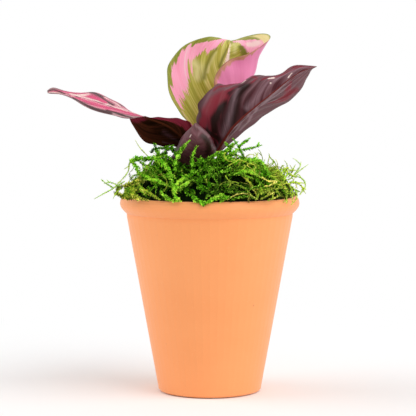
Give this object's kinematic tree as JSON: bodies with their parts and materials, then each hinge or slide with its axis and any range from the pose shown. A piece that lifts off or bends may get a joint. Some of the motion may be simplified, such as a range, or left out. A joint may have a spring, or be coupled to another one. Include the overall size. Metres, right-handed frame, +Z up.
{
  "type": "potted calathea",
  "caption": "Young calathea with patterned leaves, purple underneath, growing through a cushion of green strand moss in a tall tapered terracotta pot with a thick collar.",
  "frame": {"origin": "middle of the pot's underside, on the pot's axis, at the level of the surface that it stands on", "axes": "+Z up along the pot's axis, -Y towards the front, where the small front leaf hangs, +X towards the tall right leaf"},
  "size_m": [0.19, 0.134, 0.259],
  "materials": {
    "terracotta": "unglazed, matte, faintly mottled",
    "soil": "loose dark potting soil",
    "leaf": "thin waxy blade, olive and pink feathered pattern above, dark purple beneath",
    "stalk": "satin red-brown skin",
    "moss": "dry feathery strands, bright green to olive"
  },
  "bodies": {
    "root": {"pot": "terracotta", "soil": "soil", "leaf_back": "leaf", "leaf_right": "leaf", "leaf_left": "leaf", "leaf_front": "leaf", "stalk_back": "stalk", "stalk_right": "stalk", "stalk_left": "stalk", "stalk_front": "stalk", "moss_front": "moss", "moss_front_right": "moss", "moss_right": "moss", "moss_back_right": "moss", "moss_back": "moss", "moss_back_left": "moss", "moss_left": "moss", "moss_front_left": "moss", "sprig_fork": "moss", "sprig_over_leaf": "moss", "sprig_left": "moss", "sprig_far_left": "moss", "sprig_right": "moss", "sprig_over_rim": "moss"}
  },
  "joints": []
}
